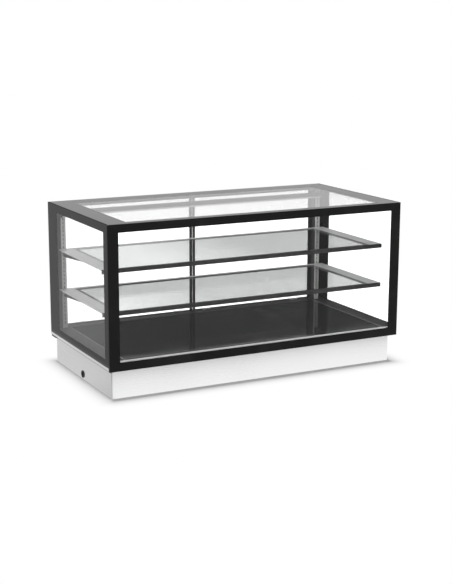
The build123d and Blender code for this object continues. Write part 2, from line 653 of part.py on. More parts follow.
# Two sliding doors: glass, a stile on each upright edge, and plastic glides in the sill groove
door_low = DECK_TOP - GROOVE_DEPTH + GLIDE_CLEARANCE
glass_low = door_low + GLIDE_BASE
stile_low = DECK_TOP + STILE_END_GAP
stile_top = header_low - STILE_END_GAP
stile_lap = STILE_WIDTH - STILE_BACK
for name, side in sides.items():
    plane_y = door_planes[name]
    wall_x = side * (post_in - DOOR_SIDE_GAP)
    meet_x = -side * DOOR_OVERLAP / 2
    glass_y = (plane_y - DOOR_GLASS / 2, plane_y + DOOR_GLASS / 2)
    with BuildPart() as door_glass:
        block((wall_x - side * STILE_BACK, meet_x + side * STILE_BACK), glass_y,
              (glass_low, header_low + DOOR_TOP_LAP))
    save(door_glass, name + "_door_glass")

    for stile_name, edge_x, inward in (("outer_stile", wall_x, -side), ("meeting_stile", meet_x, side)):
        with BuildPart() as stile:
            block((edge_x, edge_x + inward * STILE_WIDTH),
                  (plane_y - STILE_DEPTH / 2, plane_y + STILE_DEPTH / 2), (stile_low, stile_top))
            fillet(stile.edges().filter_by(Axis.Z), STILE_RADIUS)
            block((edge_x + inward * STILE_BACK, edge_x + inward * (STILE_WIDTH + 1)), glass_y,
                  (stile_low, stile_top), mode=Mode.SUBTRACT)
            if stile_name == "outer_stile":
                block((edge_x + inward * (STILE_WIDTH - PULL_WIDTH) / 2,
                       edge_x + inward * (STILE_WIDTH + PULL_WIDTH) / 2),
                      (plane_y + STILE_DEPTH / 2 - PULL_DEPTH, plane_y + STILE_DEPTH / 2),
                      (pull_mid - PULL_HEIGHT / 2, pull_mid + PULL_HEIGHT / 2), mode=Mode.SUBTRACT)
        save(stile, name + "_door_" + stile_name)

    with BuildPart() as door_glides:
        glide_y = GROOVE_WIDTH / 2 - GLIDE_CLEARANCE
        for edge_x, inward in ((wall_x, -side), (meet_x, side)):
            glide_x = (edge_x + inward * GLIDE_INSET, edge_x + inward * (GLIDE_INSET + GLIDE_LENGTH))
            block(glide_x, (plane_y - glide_y, plane_y + glide_y), (door_low, door_low + GLIDE_HEIGHT))
            block(glide_x, glass_y, (glass_low, door_low + GLIDE_HEIGHT), mode=Mode.SUBTRACT)
        chamfer(door_glides.edges().filter_by(Axis.Y).group_by(Axis.Z)[0], GLIDE_CHAMFER)
    save(door_glides, name + "_door_glides")

# Control housing: open plastic box behind the fascia, with bearings for the two rockers
housing_x = window_width / 2 - HOUSING_GAP
housing_z = window_height / 2 - HOUSING_GAP
with BuildPart() as control_housing:
    with Locations(panel_plane):
        Box(2 * housing_x, 2 * housing_z, HOUSING_DEPTH, align=HANGING)
        Box(2 * (housing_x - HOUSING_WALL), 2 * (housing_z - HOUSING_WALL),
            HOUSING_DEPTH - HOUSING_WALL, align=HANGING, mode=Mode.SUBTRACT)
        for rocker_x in rocker_xs.values():
            with Locations((rocker_x, 0, 0)):
                for cheek in (-1, 1):
                    with Locations((cheek * (ROCKER_WIDTH / 2 + ROCKER_GAP + HOUSING_WALL / 2), 0, 0)):
                        Box(HOUSING_WALL, 2 * (housing_z - HOUSING_WALL / 2), CHEEK_DEPTH, align=HANGING)
        for rocker_x in rocker_xs.values():
            with Locations((rocker_x, 0, -PIVOT_DEPTH)):
                Cylinder(PIVOT_RADIUS + PIVOT_FIT, ROCKER_WIDTH + 2 * ROCKER_GAP + 4 * HOUSING_WALL,
                         rotation=(0, 90, 0), mode=Mode.SUBTRACT)
save(control_housing, "control_housing")

# Fascia plate with windows for the rockers and display and holes for the buttons and screws
with BuildPart() as control_fascia:
    with BuildSketch(panel_plane):
        RectangleRounded(PANEL_WIDTH, PANEL_HEIGHT, PANEL_RADIUS)
        for rocker_x in rocker_xs.values():
            with Locations((rocker_x, 0)):
                Rectangle(ROCKER_WIDTH + 2 * ROCKER_GAP, ROCKER_WINDOW, mode=Mode.SUBTRACT)
        for button_x in button_xs.values():
            with Locations((button_x, 0)):
                Circle(BUTTON_RADIUS + BUTTON_GAP, mode=Mode.SUBTRACT)
        with Locations((DISPLAY_X, 0)):
            Rectangle(DISPLAY_WIDTH, DISPLAY_HEIGHT, mode=Mode.SUBTRACT)
        with GridLocations(2 * PANEL_SCREW_X, 2 * PANEL_SCREW_Z, 2, 2):
            Circle(SCREW_RADIUS, mode=Mode.SUBTRACT)
    extrude(amount=PANEL_THICKNESS)
    fillet(control_fascia.faces().sort_by(Axis.Y)[-1].outer_wire().edges(), FASCIA_EDGE)
save(control_fascia, "control_fascia")

with BuildPart() as panel_screws:
    with Locations(panel_plane.offset(PANEL_THICKNESS)):
        with GridLocations(2 * PANEL_SCREW_X, 2 * PANEL_SCREW_Z, 2, 2):
            Cylinder(SCREW_HEAD_RADIUS, SCREW_HEAD, align=STANDING)
            Cylinder(SCREW_RADIUS, SCREW_LENGTH, align=HANGING)
    fillet(panel_screws.edges().group_by(Axis.Y)[-1], SCREW_HEAD / 2)
save(panel_screws, "panel_screws")

# Display module: smoked window in the fascia, on a board that carries the three button switches
with BuildPart() as display_module:
    with Locations(panel_plane):
        with Locations((DISPLAY_X, 0, 0)):
            Box(DISPLAY_WIDTH, DISPLAY_HEIGHT, PANEL_THICKNESS - DISPLAY_SINK, align=STANDING)
            Box(DISPLAY_WIDTH + 2 * DISPLAY_FLANGE, DISPLAY_HEIGHT + 2 * DISPLAY_FLANGE,
                DISPLAY_DEPTH, align=HANGING)
        with Locations((BOARD_X, 0, -DISPLAY_DEPTH)):
            Box(BOARD_WIDTH, BOARD_HEIGHT, BOARD, align=HANGING)
        for button_x in button_xs.values():
            with Locations((button_x, 0, -DISPLAY_DEPTH)):
                Box(SWITCH, SWITCH, DISPLAY_DEPTH - BUTTON_TAIL - BUTTON_TRAVEL - SWITCH_GAP,
                    align=STANDING)
save(display_module, "display_module")

# Rocker switches, drawn in their off position, on pivots in the housing's bearings
rocker_out = PIVOT_DEPTH + PANEL_THICKNESS + ROCKER_STAND
rocker_rise = ROCKER_HEIGHT / 2 * tan(radians(ROCKER_TILT))
for name, rocker_x in rocker_xs.items():
    pivot = panel_plane.from_local_coords(Vector(rocker_x, 0, -PIVOT_DEPTH))
    across = Plane(pivot, x_dir=(0, 1, 0), z_dir=(1, 0, 0)).rotated((-ROCKER_TILT, 0, 0))
    with BuildPart() as rocker:
        with BuildSketch(across.offset(-ROCKER_WIDTH / 2)):
            with BuildLine():
                Polyline((-ROCKER_BACK, -ROCKER_HEIGHT / 3), (rocker_out + rocker_rise, -ROCKER_HEIGHT / 2),
                         (rocker_out, 0), (rocker_out + rocker_rise, ROCKER_HEIGHT / 2),
                         (-ROCKER_BACK, ROCKER_HEIGHT / 3), close=True)
            make_face()
        extrude(amount=ROCKER_WIDTH)
        with Locations(across):
            Cylinder(PIVOT_RADIUS, ROCKER_WIDTH + 2 * ROCKER_GAP + 2 * PIVOT_REACH)
    save(rocker, name + "_rocker")

# Push buttons, each with a collar that keeps it behind the fascia
for name, button_x in button_xs.items():
    with BuildPart() as button:
        with Locations(panel_plane):
            with Locations((button_x, 0, -BUTTON_TAIL)):
                Cylinder(BUTTON_RADIUS, BUTTON_TAIL + PANEL_THICKNESS + BUTTON_STAND, align=STANDING)
            with Locations((button_x, 0, -GLIDE_CLEARANCE)):
                Cylinder(BUTTON_RADIUS + BUTTON_COLLAR, BUTTON_COLLAR, align=HANGING)
        fillet(button.edges().group_by(Axis.Y)[-1], BUTTON_EDGE)
    save(button, name + "_button")

# Terminal block on the floor behind the grommet
with BuildPart() as terminal_block:
    length = TERMINAL_WAYS * TERMINAL_PITCH
    block((terminal_x - length / 2, terminal_x + length / 2),
          (GROMMET_Y - TERMINAL_DEPTH / 2, GROMMET_Y + TERMINAL_DEPTH / 2),
          (SHEET, SHEET + TERMINAL_HEIGHT))
    chamfer(terminal_block.edges().filter_by(Axis.X).group_by(Axis.Z)[-1], TERMINAL_CHAMFER)
    with Locations((terminal_x, GROMMET_Y, SHEET + TERMINAL_HEIGHT)):
        with GridLocations(TERMINAL_PITCH, TERMINAL_DEPTH / 3, TERMINAL_WAYS, 2):
            Hole(TERMINAL_HOLE, depth=TERMINAL_HEIGHT / 2)
save(terminal_block, "terminal_block")
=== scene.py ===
import math

import bmesh
import bpy
from mathutils import Matrix, Vector


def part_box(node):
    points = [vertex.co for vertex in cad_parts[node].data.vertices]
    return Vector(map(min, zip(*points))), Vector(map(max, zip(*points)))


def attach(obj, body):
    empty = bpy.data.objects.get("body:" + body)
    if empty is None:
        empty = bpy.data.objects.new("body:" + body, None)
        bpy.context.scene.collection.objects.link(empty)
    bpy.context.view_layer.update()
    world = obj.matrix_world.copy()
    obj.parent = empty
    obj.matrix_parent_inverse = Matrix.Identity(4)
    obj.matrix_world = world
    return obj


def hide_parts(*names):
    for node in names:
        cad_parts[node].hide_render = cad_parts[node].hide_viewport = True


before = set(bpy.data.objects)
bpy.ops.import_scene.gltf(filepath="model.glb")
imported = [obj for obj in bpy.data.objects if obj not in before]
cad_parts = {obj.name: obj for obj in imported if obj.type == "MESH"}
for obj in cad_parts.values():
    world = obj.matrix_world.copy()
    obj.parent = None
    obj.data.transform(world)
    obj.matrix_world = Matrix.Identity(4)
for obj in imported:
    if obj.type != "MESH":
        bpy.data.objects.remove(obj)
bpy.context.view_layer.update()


# Base and flange. Folded stainless sheet screwed to a stainless floor plate, with a flange round the
# top that rests on the counter. The flange is more polished than the walls, and its lighter colour is a
# painted highlight. The sheet is brushed along its length, with the broad soft patches that polishing
# cloths leave.

def place(tree, kind, inputs=None, **settings):
    """Put one node in a tree, set it up, and link or set its inputs."""
    node = tree.nodes.new(kind)
    for key, value in settings.items():
        setattr(node, key, value)
    for key, value in (inputs or {}).items():
        if isinstance(value, bpy.types.NodeSocket):
            tree.links.new(value, node.inputs[key])
        else:
            node.inputs[key].default_value = value
    return node


def maths(tree, operation, *values):
    """One sum on numbers or sockets."""
    return place(tree, "ShaderNodeMath", dict(enumerate(values)), operation=operation).outputs[0]


def vectors(tree, operation, *values):
    """One sum on vectors. Its outputs are Vector and Value."""
    return place(tree, "ShaderNodeVectorMath", dict(enumerate(values)), operation=operation).outputs


def axes(tree, vector):
    """The X, Y and Z of a vector."""
    return place(tree, "ShaderNodeSeparateXYZ", {0: vector}).outputs


def between(tree, share, first, second):
    """Mix two numbers: the first where the share is 0, the second where it is 1."""
    return place(tree, "ShaderNodeMix", {0: share, 2: first, 3: second}).outputs[0]


def ramp(tree, value, start, end, at_start=0.0, at_end=1.0, curve="LINEAR"):
    """Go from at_start to at_end while the value goes from start to end, and stay level past them."""
    ends = {"Value": value, "From Min": start, "From Max": end, "To Min": at_start, "To Max": at_end}
    return place(tree, "ShaderNodeMapRange", ends, interpolation_type=curve).outputs["Result"]


def noise(tree, where, scale, detail, **more):
    """Cloudy noise between 0 and 1."""
    inputs = {"Vector": where, "Scale": scale, "Detail": detail, **more}
    return place(tree, "ShaderNodeTexNoise", inputs).outputs["Fac"]


def effect_group(name, inputs, outputs):
    """Start a node group. Inputs are name: default, and every output is a number."""
    tree = bpy.data.node_groups.new(name, "ShaderNodeTree")
    tree.interface.new_socket("Vector", in_out="INPUT", socket_type="NodeSocketVector")
    for label, value in inputs.items():
        kind = "NodeSocketVector" if isinstance(value, tuple) else "NodeSocketFloat"
        tree.interface.new_socket(label, in_out="INPUT", socket_type=kind).default_value = value
    for label in outputs:
        tree.interface.new_socket(label, in_out="OUTPUT", socket_type="NodeSocketFloat")
    return tree, place(tree, "NodeGroupInput").outputs, place(tree, "NodeGroupOutput").inputs


# Brushing: scratches that run long along the axis whose number is small, over broad patches
ALONG_X = (5.0, 600.0, 600.0)
ALONG_Y = (600.0, 5.0, 600.0)
PATCHINESS = 0.45
brushing, given, made = effect_group("brushing", {"Along": ALONG_X, "Patch": 4.0}, ("Shade", "Height"))
stretched = vectors(brushing, "MULTIPLY", given["Vector"], given["Along"])["Vector"]
scratches = noise(brushing, stretched, 1.0, 3.0, Roughness=0.65)
patches = noise(brushing, given["Vector"], given["Patch"], 2.0)
brushing.links.new(between(brushing, PATCHINESS, scratches, patches), made["Shade"])
brushing.links.new(scratches, made["Height"])


def coordinates(tree):
    """The place on a piece, in metres."""
    return place(tree, "ShaderNodeTexCoord").outputs["Object"]


def bare_material(name, colour, roughness, metallic=0.0):
    """Start a material and give it back with its tree, shader and coordinates."""
    material = bpy.data.materials.new(name)
    material.use_nodes = True
    tree = material.node_tree
    shader = tree.nodes["Principled BSDF"].inputs
    shader["Base Color"].default_value = (*colour, 1.0)
    shader["Roughness"].default_value = roughness
    shader["Metallic"].default_value = metallic
    return material, tree, shader, coordinates(tree)


def effect(tree, group, where, **values):
    """Put an effect group in a material with its own values."""
    return place(tree, "ShaderNodeGroup", {"Vector": where, **values}, node_tree=group).outputs


def vary(tree, socket, mask, low, high):
    """Drive a colour or a number of the shader from low to high with a mask."""
    if isinstance(low, tuple):
        mixed = place(tree, "ShaderNodeMix", {0: mask, 6: (*low, 1.0), 7: (*high, 1.0)}, data_type="RGBA")
        tree.links.new(mixed.outputs[2], socket)
    else:
        tree.links.new(ramp(tree, mask, 0.0, 1.0, at_start=low, at_end=high), socket)


def relief(tree, shader, height, depth, strength=0.4):
    """Turn a height into a bump on the shader."""
    bump = place(tree, "ShaderNodeBump", {"Height": height, "Distance": depth, "Strength": strength})
    tree.links.new(bump.outputs["Normal"], shader["Normal"])


def brushed_metal(name, dark, light, smooth, rough, along=ALONG_X, on_x=None, metallic=1.0):
    """Brushed, drawn or plated metal. on_x is the brushing of the faces that look along X."""
    material, tree, shader, where = bare_material(name, light, rough, metallic)
    if on_x:
        normal = place(tree, "ShaderNodeNewGeometry").outputs["True Normal"]
        side_on = axes(tree, vectors(tree, "ABSOLUTE", normal)["Vector"])["X"]
        along = place(tree, "ShaderNodeMix", {0: side_on, 4: along, 5: on_x}, data_type="VECTOR").outputs[1]
    lines = effect(tree, brushing, where, Along=along)
    vary(tree, shader["Base Color"], lines["Shade"], dark, light)
    vary(tree, shader["Roughness"], lines["Shade"], rough, smooth)
    relief(tree, shader, lines["Height"], 0.00003)
    return material


def print_on(material, mask, colour):
    """Lay a mark or a shade over the colour that a material already has."""
    tree = material.node_tree
    socket = tree.nodes["Principled BSDF"].inputs["Base Color"]
    under = socket.links[0].from_socket
    printed = place(tree, "ShaderNodeMix", {0: mask, 6: under, 7: (*colour, 1.0)}, data_type="RGBA")
    tree.links.new(printed.outputs[2], socket)


def give(material, *nodes):
    """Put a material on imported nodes."""
    for node in nodes:
        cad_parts[node].data.materials.clear()
        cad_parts[node].data.materials.append(material)


def brushed_stainless(name):
    """Satin brushed stainless sheet."""
    return brushed_metal(name, (0.815, 0.815, 0.82), (0.88, 0.88, 0.885), 0.22, 0.32, on_x=ALONG_Y)


def zinc_plating(name):
    """Zinc plating, a fine grey frost with no direction."""
    return brushed_metal(name, (0.52, 0.52, 0.5), (0.7, 0.7, 0.68), 0.28, 0.42, along=(300.0, 300.0, 300.0))


give(brushed_stainless("brushed stainless"), "base_floor")
# The flange's colour, lighter than the walls, is a painted highlight along its edge; its smoother polish is
# real
bright = brushed_metal("polished flange with painted highlight", (0.93, 0.93, 0.93), (0.97, 0.97, 0.97), 0.12, 0.2, on_x=ALONG_Y)
give(bright, "mounting_flange")
zinc = zinc_plating("zinc plating")
give(zinc, "floor_screws")

# The side walls have a painted shade line: their colour darkens near the top, where the flange hangs over
# them
BASE_X, BASE_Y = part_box("base_shell")[1][:2]
SHADE_STARTS_Z, SHADE_FULL_Z = 0.0925, 0.0965
walls = brushed_stainless("brushed stainless wall")
tree = walls.node_tree
on_wall = axes(tree, coordinates(tree))
shaded = ramp(tree, on_wall["Z"], SHADE_STARTS_Z, SHADE_FULL_Z, at_end=0.7)
outermost = maths(tree, "GREATER_THAN", maths(tree, "ABSOLUTE", on_wall["X"]), BASE_X - 0.0005)
print_on(walls, maths(tree, "MULTIPLY", shaded, outermost), (0.1, 0.1, 0.1))
give(walls, "base_shell")


# Rubber parts. A grommet lines the cable outlet, and pads lie under the rear end of the flange.
# Both are moulded in black rubber, with a fine grain and a duller film where they are handled.

# Handling marks: soft wiped smears with dust specks in them
SPECK_SCALE = 220.0
handling, given, made = effect_group("handling_marks", {"Size": 6.0, "Amount": 0.5}, ("Mask",))
smears = noise(handling, given["Vector"], given["Size"], 5.0, Roughness=0.6, Distortion=0.8)
specks = noise(handling, given["Vector"], SPECK_SCALE, 1.0)
wiped = ramp(handling, smears, 0.45, 0.8)
dusty = ramp(handling, specks, 0.0, 1.0, at_start=0.6)
marked = maths(handling, "MULTIPLY", maths(handling, "MULTIPLY", wiped, dusty), given["Amount"])
handling.links.new(marked, made["Mask"])

# Moulded grain: the fine even pebble of powder coat, rubber and moulded plastic
CLOUD_SCALE = 9.0
grain, given, made = effect_group("moulded_grain", {"Size": 1500.0}, ("Shade", "Height"))
pebble = noise(grain, given["Vector"], given["Size"], 2.0)
cloud = noise(grain, given["Vector"], CLOUD_SCALE, 3.0)
grain.links.new(between(grain, 0.5, pebble, cloud), made["Shade"])
grain.links.new(pebble, made["Height"])


def moulded(name, dark, light, roughness, size=1500.0, depth=0.00004, marks=0.0):
    """Moulded or coated surface: fine grain, slight mottling, and a duller film where it is handled."""
    material, tree, shader, where = bare_material(name, light, roughness)
    pebbles = effect(tree, grain, where, Size=size)
    vary(tree, shader["Base Color"], pebbles["Shade"], dark, light)
    relief(tree, shader, pebbles["Height"], depth)
    film = effect(tree, handling, where, Amount=marks)
    vary(tree, shader["Roughness"], film["Mask"], roughness, min(roughness + 0.25, 1.0))
    return material


rubber = moulded("black rubber", (0.012, 0.012, 0.012), (0.03, 0.03, 0.03), 0.62, marks=0.6)
give(rubber, "cable_grommet", "flange_pads")


# Deck heating. A red-brown silicone rubber mat, its wire showing as a raised meander, warms the
# deck glass from below. It lies on a mineral board in a zinc-plated tray, with a probe set in the
# board under the mat and a moulded cut-out fixed under the tray.

heater, tree, shader, where = bare_material("heater mat", (0.36, 0.07, 0.03), 0.6)
meander = place(tree, "ShaderNodeTexWave", {"Vector": where, "Scale": 22.0, "Distortion": 1.2},
                bands_direction="Y", wave_profile="SIN").outputs["Fac"]
wire = ramp(tree, meander, 0.8, 0.95)
vary(tree, shader["Base Color"], wire, (0.30, 0.06, 0.03), (0.46, 0.11, 0.05))
relief(tree, shader, wire, 0.0004, 0.8)
give(heater, "deck_heater")

board, tree, shader, where = bare_material("mineral board", (0.6, 0.56, 0.42), 0.95)
fibres = effect(tree, brushing, where, Along=(220.0, 220.0, 900.0), Patch=30.0)
vary(tree, shader["Base Color"], fibres["Shade"], (0.46, 0.42, 0.30), (0.72, 0.68, 0.54))
relief(tree, shader, fibres["Height"], 0.0004, 0.8)
give(board, "insulation_board")

give(zinc, "heater_tray", "deck_probe")
give(moulded("cut-out body", (0.02, 0.02, 0.02), (0.05, 0.05, 0.05), 0.5), "overheat_cutout")


# Deck. A satin steel frame holds a black glass plate over the heater, and a black coated sheet
# covers the frame on each side of it. Wiping leaves faint smears on both.

def black_glaze(name, colour, smooth, rough, marks, size=5.0):
    """Polished black glass or print: a sharp gloss that smears and dust dull in places."""
    material, tree, shader, where = bare_material(name, colour, smooth)
    shader["IOR"].default_value = 1.5
    film = effect(tree, handling, where, Amount=marks, Size=size)
    vary(tree, shader["Roughness"], film["Mask"], smooth, rough)
    vary(tree, shader["Base Color"], film["Mask"], colour, tuple(c + 0.03 for c in colour))
    return material


trim = brushed_metal("satin deck trim", (0.84, 0.84, 0.845), (0.9, 0.9, 0.9), 0.22, 0.32, on_x=ALONG_Y,
                     metallic=0.4)
give(trim, "deck_frame")
give(black_glaze("black deck glass", (0.012, 0.012, 0.013), 0.03, 0.16, 0.6), "deck_glass")
coated = moulded("black coated sheet", (0.014, 0.014, 0.014), (0.028, 0.028, 0.028), 0.38, marks=0.5)
give(coated, "deck_cover_left", "deck_cover_right")


# Case glass. Four toughened panes with a black border printed on them, cut with arrised edges and
# bonded edge to edge with black sealant. Each replaces its plain packed pane and keeps its outline.

# Width of the arris, and the share of the lamps' light that clear glass lets through
ARRIS = 0.0006
LET_THROUGH = 0.96


def either(tree, which, first, second):
    """Surface that is the first shader where which is 0, and the second where it is 1."""
    mixed = place(tree, "ShaderNodeMixShader", {0: which, 1: first.outputs[0], 2: second.outputs[0]})
    tree.links.new(mixed.outputs[0], tree.nodes["Material Output"].inputs["Surface"])
    return mixed


def clear_glass(name, tint, marks=0.25, rough=0.02):
    """Clear glass that lets the lamps through, with faint wiping smears in its polish."""
    material, tree, shader, where = bare_material(name, tint, 0.0)
    shader["IOR"].default_value = 1.5
    shader["Transmission Weight"].default_value = 1.0
    film = effect(tree, handling, where, Amount=marks, Size=4.0)
    vary(tree, shader["Roughness"], film["Mask"], 0.0, rough)
    lamp_ray = place(tree, "ShaderNodeLightPath").outputs["Is Shadow Ray"]
    passed = place(tree, "ShaderNodeBsdfTransparent", {"Color": (*(LET_THROUGH * c for c in tint), 1.0)})
    either(tree, lamp_ray, tree.nodes["Principled BSDF"], passed)
    return material


def new_object(name, mesh, *materials):
    """Make an object of a finished mesh and its materials."""
    shape = bpy.data.meshes.new(name)
    mesh.to_mesh(shape)
    mesh.free()
    for material in materials:
        shape.materials.append(material)
    piece = bpy.data.objects.new(name, shape)
    bpy.context.scene.collection.objects.link(piece)
    return piece


case_glass = clear_glass("case glass", (0.996, 1.0, 0.998))
border_print = black_glaze("black border print", (0.006, 0.006, 0.006), 0.015, 0.12, 0.5)
sealant = moulded("black sealant", (0.005, 0.005, 0.005), (0.012, 0.012, 0.012), 0.5, size=300.0)
sealant.node_tree.nodes["Principled BSDF"].inputs["Specular IOR Level"].default_value = 0.05
give(sealant, "corner_sealant")
give(rubber, "glazing_tape")


def printed_pane(name, cuts):
    """One pane: a block with arrised edges, cut by planes, all but its clear middle printed.

    cuts holds, per axis across the pane, the low and high edge of the clear middle. The top edge
    of a side pane lies open beside the top pane, ground and black with sealant."""
    low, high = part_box(name)
    mesh = bmesh.new()
    bmesh.ops.create_cube(mesh, size=1.0, matrix=Matrix.Translation((low + high) / 2)
                          @ Matrix.Diagonal((*(high - low), 1.0)))
    bmesh.ops.bevel(mesh, geom=mesh.edges[:], offset=ARRIS, segments=1, profile=0.5,
                    affect="EDGES", material=-1)
    for axis, edges in cuts.items():
        normal = Vector((0.0, 0.0, 0.0))
        normal["XYZ".index(axis)] = 1.0
        for edge in edges:
            bmesh.ops.bisect_plane(mesh, geom=mesh.verts[:] + mesh.edges[:] + mesh.faces[:],
                                   plane_co=normal * edge, plane_no=normal)
    side_pane = "X" not in cuts
    for face in mesh.faces:
        middle = face.calc_center_median()
        clear = all(edges[0] < middle["XYZ".index(axis)] < edges[1] for axis, edges in cuts.items())
        face.material_index = 0 if clear else 1
        if side_pane and face.normal.z > 0.5:
            face.material_index = 2
    piece = new_object("glazed_" + name, mesh, case_glass, border_print, sealant)
    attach(piece, "case")
    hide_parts(name)


printed_pane("front_pane", {"X": (-0.5685, 0.5685), "Z": (0.139, 0.606)})
printed_pane("left_pane", {"Y": (-0.266, 0.212), "Z": (0.148, 0.606)})
printed_pane("right_pane", {"Y": (-0.266, 0.212), "Z": (0.148, 0.606)})
printed_pane("top_pane", {"X": (-0.5255, 0.5255), "Y": (-0.267, 0.225)})


# Rear frame. Black anodised bars and posts, the bars grooved for the doors, with a brushed
# aluminium slotted strip screwed to each post's front.

def anodised(name, along):
    """Black anodised extrusion: a satin skin with the die's faint draw lines."""
    dark, light = (0.012, 0.012, 0.012), (0.03, 0.03, 0.03)
    material, tree, shader, where = bare_material(name, light, 0.36)
    lines = effect(tree, brushing, where, Along=along)
    vary(tree, shader["Base Color"], lines["Shade"], dark, light)
    film = effect(tree, handling, where, Amount=0.5)
    vary(tree, shader["Roughness"], film["Mask"], 0.34, 0.6)
    relief(tree, shader, lines["Height"], 0.00002)
    return material


level_black = anodised("black bar", (4.0, 500.0, 500.0))
upright_black = anodised("black upright", (500.0, 500.0, 4.0))
give(level_black, "rear_sill", "rear_header")
give(upright_black, "rear_post_left", "rear_post_right")
slotted = brushed_metal("brushed strip", (0.72, 0.72, 0.71), (0.86, 0.86, 0.85), 0.3, 0.42,
                        along=(500.0, 500.0, 6.0), metallic=0.5)
give(slotted, "shelf_strip_left", "shelf_strip_right")
give(zinc, "strip_screws")


# Shelves. Satin metal frames with wide side plates and a black front edge hold a clear glass
# each, on black steel brackets that hook into the strips.

satin = brushed_metal("satin shelf metal", (0.72, 0.72, 0.72), (0.84, 0.84, 0.84), 0.32, 0.46,
                      along=(500.0, 5.0, 500.0), metallic=0.4)
shelf_glass = clear_glass("shelf glass", (0.7, 0.713, 0.708), marks=0.4, rough=0.04)
bracket_black = moulded("black bracket coat", (0.012, 0.012, 0.012), (0.026, 0.026, 0.026), 0.4)
for level in ("lower", "upper"):
    give(satin, level + "_shelf_frame")
    give(shelf_glass, level + "_shelf_glass")
    give(level_black, level + "_shelf_edge")
    give(bracket_black, level + "_bracket_left", level + "_bracket_right")


# Light bar. An opal diffuser snaps under a black channel that holds a white board of small
# yellow-topped light chips. A moulded cap closes each end.

CHIP_HALF_PITCH = 0.0166
CHIP_HALF_WIDTH = 0.0017
opal, tree, shader, where = bare_material("opal diffuser", (0.86, 0.86, 0.85), 0.4)
milky = effect(tree, grain, where, Size=60.0)
vary(tree, shader["Base Color"], milky["Shade"], (0.82, 0.82, 0.81), (0.9, 0.9, 0.89))
shader["Subsurface Weight"].default_value = 0.15
give(opal, "light_diffuser")
give(level_black, "light_profile")

light_board, tree, shader, where = bare_material("light board", (0.82, 0.82, 0.8), 0.5)
to_chip = maths(tree, "PINGPONG", axes(tree, where)["X"], CHIP_HALF_PITCH)
chip = maths(tree, "LESS_THAN", to_chip, CHIP_HALF_WIDTH)
vary(tree, shader["Base Color"], chip, (0.8, 0.8, 0.78), (0.85, 0.72, 0.2))
give(light_board, "light_strip")
plastic = moulded("black moulded plastic", (0.014, 0.014, 0.014), (0.032, 0.032, 0.032), 0.42, marks=0.5)
give(plastic, "light_end_caps")


# Doors. Clear toughened glass in black stiles, running on white nylon glides in the sill. Each
# has its own groove, so they slide past each other, and closed they overlap in the middle.

door_glass = clear_glass("door glass", (0.994, 1.0, 0.997))
nylon = moulded("white nylon", (0.68, 0.68, 0.65), (0.8, 0.8, 0.78), 0.35)
for side in ("left", "right"):
    give(door_glass, side + "_door_glass")
    give(upright_black, side + "_door_outer_stile", side + "_door_meeting_stile")
    give(nylon, side + "_door_glides")


# Rear controls. A moulded fascia carries a smoked display, two glossy rocker switches and three
# soft grey buttons with printed marks. A cream terminal block stands inside by the cable outlet.

PANEL_X, PANEL_Z = 0.43, 0.058
PRINT_GREY = (0.6, 0.6, 0.58)


def distance(tree, where, axis, centre, offset=0.0):
    """Distance from a centre along one axis, or from the nearer of two marks, an offset each side of it."""
    from_centre = maths(tree, "ABSOLUTE", maths(tree, "SUBTRACT", axes(tree, where)[axis], centre))
    return maths(tree, "ABSOLUTE", maths(tree, "SUBTRACT", from_centre, offset))


def both_under(tree, first, first_limit, second, second_limit):
    """1 where both distances are under their limits, else 0."""
    return maths(tree, "MULTIPLY", maths(tree, "LESS_THAN", first, first_limit),
                 maths(tree, "LESS_THAN", second, second_limit))


give(plastic, "control_housing", "control_fascia")
give(moulded("cream terminal plastic", (0.6, 0.56, 0.44), (0.72, 0.68, 0.56), 0.5), "terminal_block")
give(black_glaze("smoked display", (0.012, 0.004, 0.004), 0.08, 0.3, 0.5, size=30.0), "display_module")

# The rockers stand 11 mm each side of X 0.491. An upright bar is printed on the upper half of both
# for on, and a ring on the lower half for off.
ROCKERS_X, ROCKER_OFFSET = 0.491, 0.011
MARK_RISE = 0.005
ON_HALF_WIDTH, ON_HALF_HEIGHT = 0.0004, 0.0019
OFF_RADIUS, OFF_HALF_LINE = 0.0017, 0.0003
glossy = black_glaze("glossy switch", (0.015, 0.015, 0.015), 0.14, 0.4, 0.8, size=60.0)
tree = glossy.node_tree
where = coordinates(tree)
sideways = distance(tree, where, "X", ROCKERS_X, ROCKER_OFFSET)
from_bar = distance(tree, where, "Z", PANEL_Z + MARK_RISE)
from_ring = distance(tree, where, "Z", PANEL_Z - MARK_RISE)
bar = both_under(tree, sideways, ON_HALF_WIDTH, from_bar, ON_HALF_HEIGHT)
in_ring = place(tree, "ShaderNodeCombineXYZ", {"X": sideways, "Y": from_ring}).outputs[0]
radius = vectors(tree, "LENGTH", in_ring)["Value"]
from_line = maths(tree, "ABSOLUTE", maths(tree, "SUBTRACT", radius, OFF_RADIUS))
ring = maths(tree, "LESS_THAN", from_line, OFF_HALF_LINE)
print_on(glossy, maths(tree, "MAXIMUM", bar, ring), PRINT_GREY)
give(glossy, "power_rocker", "light_rocker")

# The set button has a dot, and the other two an arrow head each, its point down or up
DOT_HALF, ARROW_HALF = 0.0009, 0.0013
ARROW_SLOPE = 1.7
for name, x, point in (("set_button", 0.394, 0.0), ("down_button", 0.376, -1.0), ("up_button", 0.358, 1.0)):
    soft = moulded("soft grey " + name.split("_")[0], (0.2, 0.2, 0.21), (0.28, 0.28, 0.29), 0.55)
    tree = soft.node_tree
    where = coordinates(tree)
    sideways = distance(tree, where, "X", x)
    if point:
        rise = maths(tree, "SUBTRACT", axes(tree, where)["Z"], PANEL_Z)
        to_point = maths(tree, "MULTIPLY", rise, point)
        slant = maths(tree, "MULTIPLY_ADD", sideways, ARROW_SLOPE, to_point)
        mark = both_under(tree, slant, ARROW_HALF, maths(tree, "MULTIPLY", to_point, -1.0), ARROW_HALF)
    else:
        mark = both_under(tree, sideways, DOT_HALF, distance(tree, where, "Z", PANEL_Z), DOT_HALF)
    print_on(soft, mark, PRINT_GREY)
    give(soft, name)
